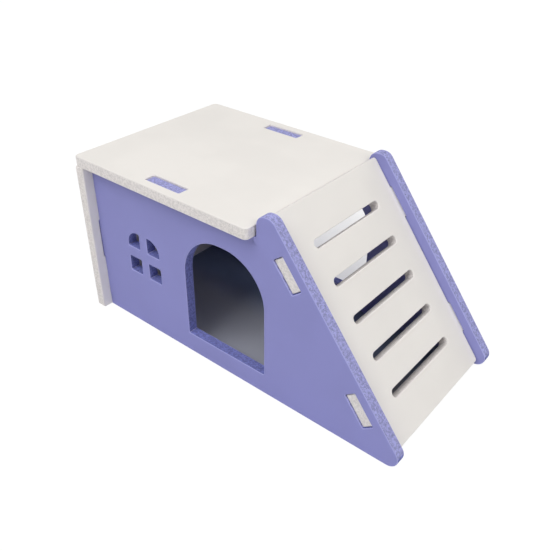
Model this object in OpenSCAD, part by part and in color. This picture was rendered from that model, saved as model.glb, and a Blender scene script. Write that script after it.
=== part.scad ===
// Hideout for a small pet, cut from flat foamed board and pushed together without screws.
// Two like side boards stand on their lower edges. The end board closes the left end, the roof
// board lies on top, and a slotted ramp board runs down between the side boards. Each board
// holds its neighbour by a tab that passes through a slot. The den is open underneath.
//
// Sizes are in millimetres. X runs along the house from the end board to the foot of the ramp,
// Y runs across it and Z is up. The origin is the middle of the footprint, on the ground.

/* [Boards] */
// Thickness of the sheet that every board is cut from
board = 5; // [3:0.5:7]
// Width over the outer faces of the two side boards
body_w = 81.5; // [70:0.5:130]
// Height over all, up to the top of the humps on the side boards
height = 86.5; // [80:0.5:110]
// How far the roof and the end board reach past each side board
overhang = 4.7; // [2:0.1:12]
// Clear length of the den, from the end board to the end of the roof
den_len = 97.4; // [90:0.2:130]
// Corner radius of the roof board
roof_r = 2.2; // [0.5:0.1:8]
// Corner radius of the end board
end_r = 0.8; // [0.5:0.1:5]

/* [Side boards] */
// Rise of the hump above the underside of the roof
hump_h = 9.9; // [7:0.1:13]
// Corner radius of the hump
hump_r = 4.5; // [2:0.5:5]
// Gap between the end of the roof and the hump
notch_gap = 0.8; // [0.3:0.1:2]
// Radius of the foot, where the slope meets the lower edge
foot_r = 4.8; // [2:0.1:8]

/* [Doorway] */
// Width of the doorway
door_w = 44.8; // [36:0.2:50]
// Height of the doorway from its sill to its crown
door_h = 54.2; // [44:0.2:58]
// Level part of the doorway's crown, between its two round corners
door_crown = 2.8; // [1:0.2:20]
// Height of the sill above the ground
door_sill = 10.2; // [5:0.2:15]
// Distance of the doorway from the end board
door_x = 57.3; // [48:0.1:62]

/* [Window] */
// Width of the window over its four panes
window_w = 20.7; // [17:0.1:28]
// Height of the window over its four panes
window_h = 21.5; // [18:0.1:30]
// Height of the window sill above the ground
window_sill = 29.4; // [20:0.2:38]
// Distance of the window from the end board
window_x = 20.3; // [14:0.1:24]
// Width of the upright bar between the panes
window_post = 5; // [3:0.1:7]
// Width of the level bar between the panes
window_bar = 5.5; // [3:0.1:7]
// Radius of the upper panes' outer corners
window_round = 6.6; // [2:0.1:6.6]

/* [Ramp] */
// Angle of the ramp to the ground
ramp_angle = 52; // [44:1:58]
// Height of the side boards' slope above the ramp, square to it
rail_h = 4.5; // [2:0.1:8]
// Gap between the ramp and each side board
ramp_gap = 0.3; // [0.1:0.05:0.6]
// Gap between the underside of the ramp and the edge of the roof
ramp_rise = 0.15; // [0.1:0.05:0.6]
// Corner radius of the ramp board
ramp_r = 1.5; // [0.5:0.1:4]
// Height of the ramp's lower edge above the ground
ramp_lift = 0.2; // [0.1:0.1:3]
// Length of a grip slot, across the ramp
grip_len = 45.4; // [20:0.2:54]
// Width of a grip slot
grip_w = 3.8; // [2.5:0.1:6]
// Distance from one grip slot to the next
grip_pitch = 16.8; // [11:0.2:25]
// Least distance from an end of the ramp to the middle of a grip slot
grip_margin = 15; // [8:0.5:30]

/* [Tabs and slots] */
// Length of the side boards' tabs in the roof and in the end board
tab_len = 19.8; // [10:0.1:28]
// Distance of the roof tab's middle from the end board
roof_tab_x = 47.4; // [24:0.1:66]
// Height of the end tab's middle above the ground
end_tab_z = 38.4; // [24:0.2:52]
// Length of the ramp's tabs
ramp_tab_len = 14.6; // [8:0.1:22]
// Distance of a ramp tab's middle from the nearer end of the ramp
ramp_tab_inset = 22.4; // [16:0.2:30]
// Gap between a tab and its slot on the faces of the board
slot_gap = 0.2; // [0.1:0.05:0.4]
// How far the end of a tab stays below the face that it comes through
tab_sink = 0.6; // [0:0.1:1]
// Radius that the cutter leaves in inside corners
cutter_r = 0.5; // [0.4:0.1:1.5]

/* [Hidden] */
$fn = 96;
lilac = [0.53, 0.53, 0.76];
off_white = [0.93, 0.91, 0.89];
// How far a cutting shape runs past what it cuts, and by how little two arcs cross
through = 1;
hair = 0.002;

// The roof lies at the height wall_h, and the underside of the ramp starts level with its top
wall_h = height - hump_h;
roof_top = wall_h + board;
cover_w = body_w + 2 * overhang;
// The slope edge of the side boards, extended, meets the level of the roof's top here
slope_x = den_len + (rail_h + board + ramp_rise) / sin(ramp_angle);
foot_x = slope_x + roof_top / tan(ramp_angle);
hump_x = den_len + notch_gap;
shoulder_x = slope_x - (height - roof_top) / tan(ramp_angle);
// The outermost point of the rounded foot, and so the middle of the whole length
tip_x = foot_x - foot_r / tan(ramp_angle / 2) + foot_r;
middle_x = (tip_x - board) / 2;

// Directions down the slope and square to it, in the plane of a side board
down = [cos(ramp_angle), -sin(ramp_angle)];
square_out = [sin(ramp_angle), cos(ramp_angle)];
// The ramp's upper end on its top face, its length, and its width between the side boards
ramp_start = [den_len, roof_top] + (board + ramp_rise) * square_out;
ramp_len = (roof_top + ramp_rise * cos(ramp_angle) - ramp_lift) / sin(ramp_angle);
ramp_w = body_w - 2 * board - 2 * ramp_gap;
ramp_tabs = [ramp_tab_inset, ramp_len - ramp_tab_inset];
grips = floor((ramp_len - 2 * grip_margin) / grip_pitch);

// A round cutter can't reach into a corner, so a slot is this much longer than its tab at each end
slot_end_gap = slot_gap + cutter_r - sqrt(pow(cutter_r, 2) - pow(cutter_r - slot_gap, 2));

function unit(v) = v / norm(v);
// Half the angle between two directions
function half_angle(a, b) = acos(unit(a) * unit(b)) / 2;

// What rounding takes off a corner, from the arc's centre and the points where it meets the two
// sides. The arc is a hair wider than it has to be, so that it crosses the sides cleanly.
module round_off(centre, side_a, side_b) {
    a = side_a - centre;
    b = side_b - centre;
    corner = centre + (a + b) * (a * a) / (a * a + a * b);
    out = unit(corner - centre) * through;
    difference() {
        polygon([centre, side_a, side_a + out, corner + out, side_b + out, side_b]);
        translate(centre) circle(norm(a) + hair);
    }
}

// The same at a corner of two straight sides, which run off in the directions to_a and to_b
module round_corner(corner, to_a, to_b, r) {
    half = half_angle(to_a, to_b);
    reach = r / tan(half);
    centre = corner + unit(unit(to_a) + unit(to_b)) * r / sin(half);
    round_off(centre, corner + unit(to_a) * reach, corner + unit(to_b) * reach);
}

// A rectangle from the origin, with each corner rounded by its radius: near left, near right,
// far right and far left
module rounded_plate(size, radii) {
    difference() {
        square(size);
        if (radii[0] > 0) round_corner([0, 0], [1, 0], [0, 1], radii[0]);
        if (radii[1] > 0) round_corner([size.x, 0], [-1, 0], [0, 1], radii[1]);
        if (radii[2] > 0) round_corner(size, [-1, 0], [0, -1], radii[2]);
        if (radii[3] > 0) round_corner([0, size.y], [1, 0], [0, -1], radii[3]);
    }
}

// A slot for a tab of the given length, centred on the origin
module tab_slot(length) {
    size = [length + 2 * slot_end_gap, board + 2 * slot_gap];
    translate(-size / 2) rounded_plate(size, [cutter_r, cutter_r, cutter_r, cutter_r]);
}

// The doorway from its lower left corner. Its top is nearly a half circle
module doorway() {
    arch_r = (door_w - door_crown) / 2;
    rounded_plate([door_w, door_h], [cutter_r, cutter_r, arch_r, arch_r]);
}

// The left half of the window: a square pane, and one with a large round corner over it
module half_window() {
    pane = [(window_w - window_post) / 2, (window_h - window_bar) / 2];
    crown_r = min(window_round, min(pane) - cutter_r);
    rounded_plate(pane, [cutter_r, cutter_r, cutter_r, cutter_r]);
    translate([0, window_h - pane.y]) rounded_plate(pane, [cutter_r, cutter_r, cutter_r, crown_r]);
}

module window() {
    half_window();
    translate([window_w, 0]) mirror([1, 0]) half_window();
}

// The face of a side board, with X along the house and Y for its height
module side_outline() {
    difference() {
        polygon([[0, 0], [foot_x, 0], [shoulder_x, height], [hump_x, height],
            [hump_x, wall_h], [0, wall_h]]);
        round_corner([foot_x, 0], [-1, 0], -down, foot_r);
        round_corner([shoulder_x, height], [-1, 0], down, hump_r);
        round_corner([hump_x, height], [1, 0], [0, -1], hump_r);
    }
    // Tabs that go up into the roof and out into the end board
    translate([roof_tab_x - tab_len / 2, wall_h - through])
        square([tab_len, through + board - tab_sink]);
    translate([tab_sink - board, end_tab_z - tab_len / 2])
        square([board - tab_sink + through, tab_len]);
}

module side_board() {
    translate([-middle_x, board - body_w / 2, 0]) rotate([90, 0, 0])
        linear_extrude(board) difference() {
            side_outline();
            translate([door_x, door_sill]) doorway();
            translate([window_x, window_sill]) window();
            for (s = ramp_tabs)
                translate(ramp_start + s * down - board / 2 * square_out)
                    rotate(-ramp_angle) tab_slot(ramp_tab_len);
        }
}

module front_side_board() {
    color(lilac) side_board();
}

module back_side_board() {
    color(lilac) mirror([0, 1, 0]) side_board();
}

// Stands across the left end, with its faces square to X
module end_board() {
    color(off_white) translate([-middle_x, 0, 0]) rotate([90, 0, -90])
        linear_extrude(board) difference() {
            translate([-cover_w / 2, 0]) rounded_plate([cover_w, wall_h], [end_r, end_r, end_r, end_r]);
            for (side = [-1, 1])
                translate([side * (body_w - board) / 2, end_tab_z]) rotate(90) tab_slot(tab_len);
        }
}

module roof_board() {
    color(off_white) translate([-middle_x, 0, wall_h])
        linear_extrude(board) difference() {
            translate([-board, -cover_w / 2])
                rounded_plate([board + den_len, cover_w], [roof_r, roof_r, roof_r, roof_r]);
            for (side = [-1, 1])
                translate([roof_tab_x, side * (body_w - board) / 2]) tab_slot(tab_len);
        }
}

// A grip slot across the ramp, with round ends
module grip() {
    reach = (grip_len - grip_w) / 2;
    square([grip_w, 2 * reach], center = true);
    for (side = [-1, 1]) translate([0, side * reach]) circle(grip_w / 2);
}

// Laid out flat with X down the slope, and turned onto the slope
module ramp_board() {
    color(off_white) translate([ramp_start.x - middle_x, 0, ramp_start.y]) rotate([0, ramp_angle, 0])
        translate([0, 0, -board]) linear_extrude(board) difference() {
            union() {
                translate([0, -ramp_w / 2])
                    rounded_plate([ramp_len, ramp_w], [ramp_r, ramp_r, ramp_r, ramp_r]);
                for (s = ramp_tabs) tab_pair(s);
            }
            for (i = [0 : grips])
                translate([ramp_len / 2 + (i - grips / 2) * grip_pitch, 0]) grip();
        }
}

// A pair of tabs, one at each side of the ramp, as one strip that crosses it
module tab_pair(s) {
    translate([s - ramp_tab_len / 2, tab_sink - body_w / 2])
        square([ramp_tab_len, body_w - 2 * tab_sink]);
}

front_side_board();
back_side_board();
end_board();
roof_board();
ramp_board();
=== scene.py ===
"""Looks of a small pet's hideout: machined foamed boards, a white studio floor and soft light.

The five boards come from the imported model. This script breaks their sharp edges, gives their
faces and their cut edges a finish, and sets up the studio. Everything is in metres, in the
model's own frame, with the house standing on Z = 0.
"""

import math

import bpy
from mathutils import Matrix, Vector


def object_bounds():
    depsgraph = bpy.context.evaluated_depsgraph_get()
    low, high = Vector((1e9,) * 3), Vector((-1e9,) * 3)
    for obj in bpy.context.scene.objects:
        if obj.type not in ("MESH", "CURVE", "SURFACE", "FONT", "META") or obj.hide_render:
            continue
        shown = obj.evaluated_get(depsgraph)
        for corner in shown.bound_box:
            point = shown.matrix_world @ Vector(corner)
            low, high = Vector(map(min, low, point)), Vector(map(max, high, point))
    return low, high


bl_info = {
    "name": "Pet hideout finish",
    "version": (1, 0, 0),
    "blender": (4, 5, 0),
    "location": "View3D > Sidebar > Hideout",
    "description": "Finishes the boards of a small pet's hideout and sets up its studio",
    "category": "Material",
}

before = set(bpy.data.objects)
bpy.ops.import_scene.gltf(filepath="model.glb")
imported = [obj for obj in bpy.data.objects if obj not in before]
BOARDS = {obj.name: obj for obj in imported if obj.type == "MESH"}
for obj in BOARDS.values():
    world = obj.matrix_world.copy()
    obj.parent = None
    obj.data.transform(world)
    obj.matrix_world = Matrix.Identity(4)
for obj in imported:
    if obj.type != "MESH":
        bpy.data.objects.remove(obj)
CAD_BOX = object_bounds()

# The slope of the ramp, and the direction square to each board's faces
RAMP_SLOPE = math.radians(52)
ACROSS = Vector((0, 1, 0))
ALONG = Vector((1, 0, 0))
UP = Vector((0, 0, 1))
RAMP_OUT = Vector((math.sin(RAMP_SLOPE), 0, math.cos(RAMP_SLOPE)))

# How strongly the foam's mottle stands out, and how much lighter the painted highlight makes
# the broken edges
LILAC_CONTRAST, LILAC_EDGE_HIGHLIGHT = 0.25, 1.2
WHITE_CONTRAST, WHITE_EDGE_HIGHLIGHT = 0.10, 1.03

# How squarely a surface looks the way that the faces do, from 0 on a cut edge to 1 on a face:
# where the cut edge gives way to the broken edge, and the broken edge to the face
CUT_ENDS, BROKEN_STARTS = 0.10, 0.45
BROKEN_ENDS, FACE_STARTS = 0.90, 0.995

# How squarely a cut edge looks out along the ramp, and how high it is, where it takes the
# paler colour of the slopes and tops, a painted highlight where the light falls on these cut
# edges
SLOPE_FROM, SLOPE_TO = 0.82, 0.97
TOP_FROM, TOP_TO = 0.0780, 0.0795

# Sizes of the foam's mottle, clusters of open cells and pale flecks, in cells
MOTTLE, CLUSTER, FLECK = 1.5, 4, 0.9

# Size of the faint clouds on a face, and their darkest and palest tone
CLOUD, CLOUD_DARK, CLOUD_PALE = 0.03, 0.985, 1.015

# Depths of the grain on a face, of the grain on a cut edge and of an open cell
FACE_GRAIN, CUT_GRAIN, CELL_DEPTH = 0.000012, 0.00003, 0.0001

# How far the floor lies under the boards' lower edges, so that the two never share a plane
FLOOR_DROP = 0.0001

# The floor under the house ends this far in from the house's ends and sides, within the
# thickness of the boards that stand round it
END_INSET, FOOT_INSET, SIDE_INSET = 0.0025, 0.005, 0.007

# Colours of the floor: round the house, and under it near the front and near the back, where
# the floor is painted shade, darker and bluer towards the back, with the line across the house
# where the one starts to turn to the other, and where it has
PAPER = (0.95, 0.95, 0.95, 1)
DEN_SHADE_FRONT = (0.34, 0.35, 0.40, 1)
DEN_SHADE_BACK = (0.21, 0.26, 0.38, 1)
DEN_FROM, DEN_TO = -0.005, 0.02

# The oval shadow behind the house, the part of its reach that is in full shadow, and the
# share of plain white in full shadow and round the oval
SHADOW_MIDDLE, SHADOW_REACH = (-0.045, 0.055, 0), (0.08, 0.1, 1)
SHADOW_CORE = 0.5
SHADOW_WHITE, OPEN_WHITE = 0.28, 0.92

# Strength of the floor's plain white. It makes up for the paper that is mixed with it
WHITE_STRENGTH = 1.05

# Width of the camera's sensor in millimetres
SENSOR_WIDTH = 36

# Spacing of the columns and rows of nodes in the shader editor
NODE_COLUMN, NODE_ROW = 220, 260


def srgb(red, green, blue):
    """A colour written as 0 to 255, in the linear numbers that a shader takes."""

    def linear(value):
        value /= 255
        return value / 12.92 if value <= 0.04045 else ((value + 0.055) / 1.055) ** 2.4

    return tuple(linear(value) for value in (red, green, blue))


def color_property(name, description, default):
    return bpy.props.FloatVectorProperty(
        name=name,
        description=description,
        subtype="COLOR",
        size=3,
        min=0,
        max=1,
        default=default,
    )


def length_property(name, description, default):
    return bpy.props.FloatProperty(
        name=name,
        description=description,
        default=default,
        min=0,
        precision=5,
        unit="LENGTH",
    )


def lamp_property(name, description, default):
    return bpy.props.FloatProperty(
        name=name, description=description, default=default, min=0, unit="POWER"
    )


class HideoutBoards(bpy.types.PropertyGroup):
    lilac: color_property("Lilac", "Faces of the side boards", srgb(148, 149, 207))
    lilac_cut: color_property(
        "Lilac cut", "Foam on the cut edges of the side boards", srgb(116, 121, 184)
    )
    # A paler copy of the cut edges' colour, painted on the cut edges that face up and along
    # the ramp: painted highlight where the light falls on them
    lilac_highlight_cut: color_property(
        "Lilac top", "Foam on the side boards' slopes and tops", srgb(158, 159, 208)
    )
    white: color_property(
        "White", "Faces of the roof, end and ramp boards", srgb(240, 236, 231)
    )
    white_cut: color_property(
        "White cut",
        "Foam on the cut edges of the roof, end and ramp boards",
        srgb(234, 229, 226),
    )
    arris: length_property(
        "Arris", "Width of the broken edge round the faces of a board", 0.0004
    )
    cell: length_property(
        "Cell", "Size of the open foam cells on a cut edge", 0.0007
    )
    grain: length_property(
        "Grain", "Size of the matte grain on the faces of a board", 0.0005
    )


class HideoutStudio(bpy.types.PropertyGroup):
    camera_place: bpy.props.FloatVectorProperty(
        name="Camera place",
        description="Where the camera stands",
        size=3,
        default=(0.15627, -0.20109, 0.20216),
        precision=4,
        unit="LENGTH",
    )
    camera_aim: bpy.props.FloatVectorProperty(
        name="Camera aim",
        description="The point that the camera looks at",
        size=3,
        default=(0.0078, -0.01631, 0.04325),
        precision=4,
        unit="LENGTH",
    )
    camera_roll: bpy.props.FloatProperty(
        name="Camera roll",
        description="Turn of the camera about its own axis",
        default=math.radians(0.87),
        unit="ROTATION",
    )
    lens: bpy.props.FloatProperty(
        name="Lens",
        description="Focal length in millimetres, on a sensor 36 mm wide",
        default=43.21,
        min=10,
        max=200,
    )
    shift: bpy.props.FloatProperty(
        name="Shift",
        description="Sideways shift of the picture, as a share of its width",
        default=-0.0047,
        precision=4,
    )
    floor_side: length_property("Floor side", "Side of the square floor", 4.0)
    sky: bpy.props.FloatProperty(
        name="Sky",
        description="Strength of the even light from all round",
        default=0.04,
        min=0,
    )
    key: lamp_property("Key", "Power of the wide lamp over the front", 6.5)
    side: lamp_property("Side", "Power of the wide lamp over the ramp", 4.9)
    back: lamp_property("Back", "Power of the wide lamp behind the house", 3.8)
    fill: lamp_property("Fill", "Power of the low lamp before the end board", 1.3)


class Finish:
    """A material under construction: adds shader nodes and links them."""

    def __init__(self, name):
        self.material = bpy.data.materials.new(name)
        self.material.use_nodes = True
        self.tree = self.material.node_tree
        self.tree.nodes.clear()

    def add(self, kind, inputs=None, **settings):
        """A new node. Each input is either a value or the output that it reads."""
        node = self.tree.nodes.new(kind)
        for name, value in settings.items():
            setattr(node, name, value)
        for name, value in (inputs or {}).items():
            if isinstance(value, bpy.types.NodeSocket):
                self.tree.links.new(value, node.inputs[name])
            else:
                node.inputs[name].default_value = value
        return node

    def math(self, operation, *values):
        return self.add(
            "ShaderNodeMath", dict(enumerate(values)), operation=operation
        ).outputs[0]

    def step(self, value, low, high, start=0.0, end=1.0):
        """A smooth step from start, at low, to end, at high."""
        return self.add(
            "ShaderNodeMapRange",
            {
                "Value": value,
                "From Min": low,
                "From Max": high,
                "To Min": start,
                "To Max": end,
            },
            interpolation_type="SMOOTHSTEP",
        ).outputs["Result"]

    def mix(self, factor, first, second):
        """The first colour where the factor is 0, and the second where it is 1."""
        return self.add(
            "ShaderNodeMix", {0: factor, 6: first, 7: second}, data_type="RGBA"
        ).outputs[2]

    def dot(self, first, second):
        """How squarely the two directions agree, from -1 to 1."""
        return self.add(
            "ShaderNodeVectorMath", {0: first, 1: second}, operation="DOT_PRODUCT"
        ).outputs["Value"]

    def noise(self, where, size, detail=2.0, roughness=0.5):
        """Noise with lumps of about that size."""
        return self.add(
            "ShaderNodeTexNoise",
            {
                "Vector": where,
                "Scale": 1 / size,
                "Detail": detail,
                "Roughness": roughness,
            },
        ).outputs["Fac"]

    def layout(self):
        """Puts each node to the right of the nodes that it reads."""
        depth = {}

        def column(node):
            if node.name not in depth:
                depth[node.name] = 0
                links = [link for socket in node.inputs for link in socket.links]
                depth[node.name] = max(
                    (column(link.from_node) + 1 for link in links), default=0
                )
            return depth[node.name]

        rows = {}
        for node in self.tree.nodes:
            x = column(node)
            rows[x] = rows.get(x, 0) + 1
            node.location = (x * NODE_COLUMN, -rows[x] * NODE_ROW)
        return self.material


def shade(color, factor):
    """The colour times the factor, opaque and no lighter than white."""
    return (*(min(value * factor, 1) for value in color), 1)


def foam_board(name, face, cut, lit_cut_colour, contrast, edge_highlight, out, settings):
    """Foamed board whose faces have the direction out. The faces are matte, and the cut edges
    show the foam's fine cells, with that much contrast. Cut edges along the ramp and on top
    take a paler colour, a painted highlight where the light falls on them. The broken edge
    between faces and cut edges is painted lighter still by the edge highlight factor, a
    painted highlight."""
    f = Finish(name)
    where = f.add("ShaderNodeTexCoord")
    place = where.outputs["Object"]
    # 1 on a face, 0 on a cut edge and between them on the broken edge
    facing = f.math("ABSOLUTE", f.dot(where.outputs["Normal"], out))
    is_cut = f.step(facing, CUT_ENDS, BROKEN_STARTS, 1, 0)
    is_broken = f.math(
        "MULTIPLY",
        f.step(facing, CUT_ENDS, BROKEN_STARTS),
        f.step(facing, BROKEN_ENDS, FACE_STARTS, 1, 0),
    )

    # The foam: a fine mottle of denser and looser foam, with small open cells painted darker,
    # painted shade in them, and pale flecks
    # Painted highlight: cut edges that face along the ramp, and those high up on top, take the
    # paler cut colour where the light falls on them
    on_slope = f.step(f.dot(where.outputs["Normal"], RAMP_OUT), SLOPE_FROM, SLOPE_TO)
    height = f.add("ShaderNodeSeparateXYZ", {"Vector": place}).outputs["Z"]
    on_top = f.math("MAXIMUM", on_slope, f.step(height, TOP_FROM, TOP_TO))
    tone = f.mix(on_top, shade(cut, 1), shade(lit_cut_colour, 1))

    def foam_tone(factor):
        return f.add(
            "ShaderNodeVectorMath", {0: tone, "Scale": factor}, operation="SCALE"
        ).outputs["Vector"]

    mottle = f.noise(place, settings.cell * MOTTLE, 3, 0.7)
    foam = f.mix(
        f.step(mottle, 0.32, 0.66), foam_tone(1 - contrast), foam_tone(1 + contrast)
    )
    cells = f.add(
        "ShaderNodeTexVoronoi",
        {"Vector": place, "Scale": 1 / settings.cell, "Randomness": 1},
    ).outputs["Distance"]
    clusters = f.noise(place, settings.cell * CLUSTER, 2)
    pits_with_painted_shade = f.math(
        "MULTIPLY", f.step(cells, 0.12, 0.34, 1, 0), f.step(clusters, 0.40, 0.60)
    )
    # Painted shade: the open cells are painted darker, besides the dent that the bump gives
    # them
    foam = f.mix(pits_with_painted_shade, foam, foam_tone(1 - 2 * contrast))
    flecks = f.step(f.noise(place, settings.cell * FLECK, 1), 0.64, 0.74)
    foam = f.mix(flecks, foam, foam_tone(1 + 1.3 * contrast))

    # The faces: an even skin with the faintest cloudiness
    clouds = f.noise(place, CLOUD, 2)
    skin = f.mix(
        f.step(clouds, 0.35, 0.65), shade(face, CLOUD_DARK), shade(face, CLOUD_PALE)
    )
    color = f.mix(is_cut, skin, foam)
    # Painted highlight: the broken edge takes the paler cut colour, made lighter still
    color = f.mix(is_broken, color, shade(lit_cut_colour, edge_highlight))

    grain = f.noise(place, settings.grain, 2)
    relief = f.math(
        "SUBTRACT",
        f.math("MULTIPLY", grain, f.step(is_cut, 0, 1, FACE_GRAIN, CUT_GRAIN)),
        f.math("MULTIPLY", f.math("MULTIPLY", pits_with_painted_shade, is_cut), CELL_DEPTH),
    )
    bump = f.add("ShaderNodeBump", {"Height": relief, "Strength": 1, "Distance": 1})
    surface = f.add(
        "ShaderNodeBsdfPrincipled",
        {
            "Base Color": color,
            "Roughness": f.step(is_cut, 0, 1, 0.7, 0.9),
            "Normal": bump.outputs["Normal"],
            "IOR": 1.45,
            "Specular IOR Level": 0.2,
        },
    )
    f.add("ShaderNodeOutputMaterial", {"Surface": surface.outputs["BSDF"]})
    return f.layout()


def white_board(name, out, settings):
    """White foamed board, whose cut edges have one colour wherever they are."""
    cut = settings.white_cut
    return foam_board(
        name, settings.white, cut, cut, WHITE_CONTRAST, WHITE_EDGE_HIGHLIGHT, out, settings
    )


def break_edges(board, width):
    """Rounds the sharp edges of a board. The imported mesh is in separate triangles, so they
    are joined into whole faces first."""
    weld = board.modifiers.new("Join", "WELD")
    weld.merge_threshold = 0.000005
    faces = board.modifiers.new("Whole faces", "DECIMATE")
    faces.decimate_type = "DISSOLVE"
    faces.angle_limit = math.radians(0.5)
    arris = board.modifiers.new("Arris", "BEVEL")
    arris.width = width
    arris.segments = 3
    arris.limit_method = "ANGLE"
    arris.angle_limit = math.radians(30)
    arris.miter_outer = "MITER_ARC"
    arris.use_clamp_overlap = False
    arris.loop_slide = False
    normals = board.modifiers.new("Flat faces", "WEIGHTED_NORMAL")
    normals.mode = "FACE_AREA"
    normals.weight = 100
    normals.keep_sharp = False


def finish_boards(names, material, settings):
    """Breaks the edges of the named boards, and gives them the material."""
    for name in names:
        board = BOARDS[name]
        break_edges(board, settings.arris)
        for slot in board.material_slots:
            slot.material = material
        for polygon in board.data.polygons:
            polygon.use_smooth = True


class HIDEOUT_OT_side_boards(bpy.types.Operator):
    """Finish the two lilac side boards with their arched doorways and pane windows"""

    bl_idname = "hideout.side_boards"
    bl_label = "Side boards"

    def execute(self, context):
        boards = context.scene.hideout_boards
        lilac = foam_board(
            "lilac_board",
            boards.lilac,
            boards.lilac_cut,
            boards.lilac_highlight_cut,
            LILAC_CONTRAST,
            LILAC_EDGE_HIGHLIGHT,
            ACROSS,
            boards,
        )
        finish_boards(("front_side_board", "back_side_board"), lilac, boards)
        return {"FINISHED"}


class HIDEOUT_OT_end_board(bpy.types.Operator):
    """Finish the white board that closes the left end"""

    bl_idname = "hideout.end_board"
    bl_label = "End board"

    def execute(self, context):
        boards = context.scene.hideout_boards
        white = white_board("white_end_board", ALONG, boards)
        finish_boards(("end_board",), white, boards)
        return {"FINISHED"}


class HIDEOUT_OT_roof_board(bpy.types.Operator):
    """Finish the white roof board"""

    bl_idname = "hideout.roof_board"
    bl_label = "Roof board"

    def execute(self, context):
        boards = context.scene.hideout_boards
        white = white_board("white_roof_board", UP, boards)
        finish_boards(("roof_board",), white, boards)
        return {"FINISHED"}


class HIDEOUT_OT_ramp_board(bpy.types.Operator):
    """Finish the white ramp board with its grip slots"""

    bl_idname = "hideout.ramp_board"
    bl_label = "Ramp board"

    def execute(self, context):
        boards = context.scene.hideout_boards
        white = white_board("white_ramp_board", RAMP_OUT, boards)
        finish_boards(("ramp_board",), white, boards)
        return {"FINISHED"}


def studio_floor(side, house):
    """A pale floor. Round the house it shows nearly white to the camera, with a little
    of the house's shadow, and with more of it behind the house. Under the house it is painted
    a darker grey, bluer and darker towards the back, as painted shade, and lit by the light
    that really gets in."""
    mesh = bpy.data.meshes.new("floor")
    half = side / 2
    corners = [(-half, -half, 0), (half, -half, 0), (half, half, 0), (-half, half, 0)]
    mesh.from_pydata(corners, [], [(0, 1, 2, 3)])
    floor = bpy.data.objects.new("floor", mesh)
    floor.location.z = -FLOOR_DROP
    bpy.context.scene.collection.objects.link(floor)

    f = Finish("floor_with_painted_shade")
    place = f.add("ShaderNodeTexCoord").outputs["Object"]
    x, y, _ = f.add("ShaderNodeSeparateXYZ", {"Vector": place}).outputs
    low, high = house
    inside = f.math(
        "MULTIPLY",
        f.math(
            "MULTIPLY",
            f.math("GREATER_THAN", x, low.x + END_INSET),
            f.math("LESS_THAN", x, high.x - FOOT_INSET),
        ),
        f.math("LESS_THAN", f.math("ABSOLUTE", y), high.y - SIDE_INSET),
    )
    # 0 at the middle of the shadow behind the house, and 1 on the oval where it ends
    oval = f.add(
        "ShaderNodeMapping",
        {"Vector": place, "Location": SHADOW_MIDDLE, "Scale": SHADOW_REACH},
        vector_type="TEXTURE",
    )
    behind = f.add(
        "ShaderNodeVectorMath", {0: oval.outputs["Vector"]}, operation="LENGTH"
    ).outputs["Value"]
    whiteness = f.math(
        "MULTIPLY",
        f.math("SUBTRACT", 1, inside),
        f.step(behind, SHADOW_CORE, 1.0, SHADOW_WHITE, OPEN_WHITE),
    )
    light = f.add("ShaderNodeLightPath").outputs
    seen = f.math(
        "MAXIMUM",
        f.math("MAXIMUM", light["Is Camera Ray"], light["Is Glossy Ray"]),
        light["Is Transmission Ray"],
    )
    # Painted shade: the floor under the house is painted a darker grey-blue, darker still
    # towards the back
    den_shade = f.mix(f.step(y, DEN_FROM, DEN_TO), DEN_SHADE_FRONT, DEN_SHADE_BACK)
    pale = f.mix(inside, PAPER, den_shade)
    paper = f.add("ShaderNodeBsdfDiffuse", {"Color": pale})
    white = f.add(
        "ShaderNodeEmission", {"Color": (1, 1, 1, 1), "Strength": WHITE_STRENGTH}
    )
    surface = f.add(
        "ShaderNodeMixShader",
        {
            0: f.math("MULTIPLY", seen, whiteness),
            1: paper.outputs[0],
            2: white.outputs[0],
        },
    )
    f.add("ShaderNodeOutputMaterial", {"Surface": surface.outputs[0]})
    mesh.materials.append(f.layout())
    return floor


def studio_sky(strength):
    """Even light from all round, which shows white to the camera."""
    world = bpy.data.worlds.new("studio_sky")
    world.use_nodes = True
    tree = world.node_tree
    light = tree.nodes.new("ShaderNodeLightPath")
    seen = light.outputs["Is Camera Ray"]
    for name in ("Is Glossy Ray", "Is Transmission Ray"):
        either = tree.nodes.new("ShaderNodeMath")
        either.operation = "MAXIMUM"
        tree.links.new(seen, either.inputs[0])
        tree.links.new(light.outputs[name], either.inputs[1])
        seen = either.outputs[0]
    level = tree.nodes.new("ShaderNodeMapRange")
    level.inputs["To Min"].default_value = strength
    tree.links.new(seen, level.inputs["Value"])
    sky = tree.nodes["Background"]
    sky.inputs["Color"].default_value = (1, 1, 1, 1)
    tree.links.new(level.outputs["Result"], sky.inputs["Strength"])
    bpy.context.scene.world = world


def area_lamp(name, place, width, power):
    """A square lamp that faces the house."""
    lamp = bpy.data.lights.new(name, "AREA")
    lamp.size = width
    lamp.energy = power
    lamp_object = bpy.data.objects.new(name, lamp)
    lamp_object.location = place
    lamp_object.rotation_mode = "QUATERNION"
    lamp_object.rotation_quaternion = (-Vector(place)).to_track_quat("-Z", "Y")
    bpy.context.scene.collection.objects.link(lamp_object)


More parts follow.
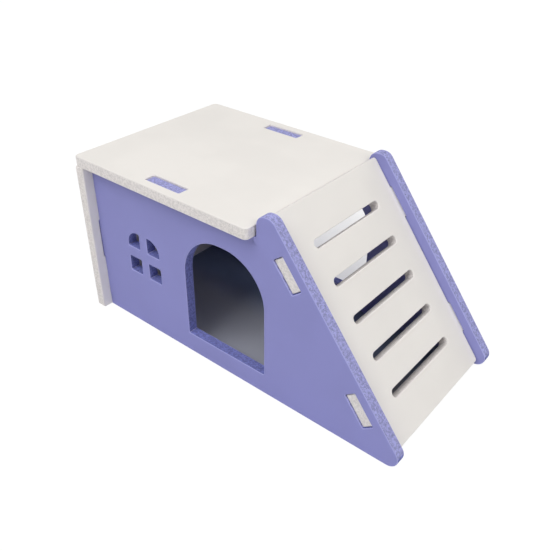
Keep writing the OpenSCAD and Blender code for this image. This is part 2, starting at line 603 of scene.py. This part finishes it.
class HIDEOUT_OT_studio(bpy.types.Operator):
    """Set up the floor, the light and the camera"""

    bl_idname = "hideout.studio"
    bl_label = "Studio"

    def execute(self, context):
        studio = context.scene.hideout_studio
        studio_floor(studio.floor_side, CAD_BOX)
        studio_sky(studio.sky)
        area_lamp("key_lamp", (-0.12, -0.52, 0.84), 0.7, studio.key)
        area_lamp("side_lamp", (0.75, 0.0, 0.75), 0.8, studio.side)
        area_lamp("back_lamp", (0.0, 1.0, 0.45), 0.8, studio.back)
        area_lamp("fill_lamp", (-1.0, 0.0, 0.2), 0.4, studio.fill)

        camera = bpy.data.cameras.new("camera")
        camera.sensor_width = SENSOR_WIDTH
        camera.lens = studio.lens
        camera.shift_x = studio.shift
        camera.clip_start = 0.01
        view = Vector(studio.camera_aim) - Vector(studio.camera_place)
        camera_object = bpy.data.objects.new("camera", camera)
        camera_object.matrix_world = (
            Matrix.Translation(studio.camera_place)
            @ view.to_track_quat("-Z", "Y").to_matrix().to_4x4()
            @ Matrix.Rotation(studio.camera_roll, 4, "Z")
        )
        context.scene.collection.objects.link(camera_object)
        context.scene.camera = camera_object
        context.scene.view_settings.view_transform = "Standard"
        return {"FINISHED"}


OPERATORS = (
    HIDEOUT_OT_side_boards,
    HIDEOUT_OT_end_board,
    HIDEOUT_OT_roof_board,
    HIDEOUT_OT_ramp_board,
    HIDEOUT_OT_studio,
)


class HIDEOUT_PT_panel(bpy.types.Panel):
    bl_label = "Pet hideout"
    bl_idname = "HIDEOUT_PT_panel"
    bl_space_type = "VIEW_3D"
    bl_region_type = "UI"
    bl_category = "Hideout"

    def draw(self, context):
        for settings in (context.scene.hideout_boards, context.scene.hideout_studio):
            box = self.layout.box()
            for name in settings.__annotations__:
                box.prop(settings, name)
        for operator in OPERATORS:
            self.layout.operator(operator.bl_idname)


CLASSES = (HideoutBoards, HideoutStudio, *OPERATORS, HIDEOUT_PT_panel)


def register():
    for cls in CLASSES:
        bpy.utils.register_class(cls)
    bpy.types.Scene.hideout_boards = bpy.props.PointerProperty(type=HideoutBoards)
    bpy.types.Scene.hideout_studio = bpy.props.PointerProperty(type=HideoutStudio)


def unregister():
    del bpy.types.Scene.hideout_studio
    del bpy.types.Scene.hideout_boards
    for cls in reversed(CLASSES):
        bpy.utils.unregister_class(cls)


def main():
    register()
    bpy.ops.hideout.side_boards()
    bpy.ops.hideout.end_board()
    bpy.ops.hideout.roof_board()
    bpy.ops.hideout.ramp_board()
    bpy.ops.hideout.studio()


if __name__ == "__main__":
    main()
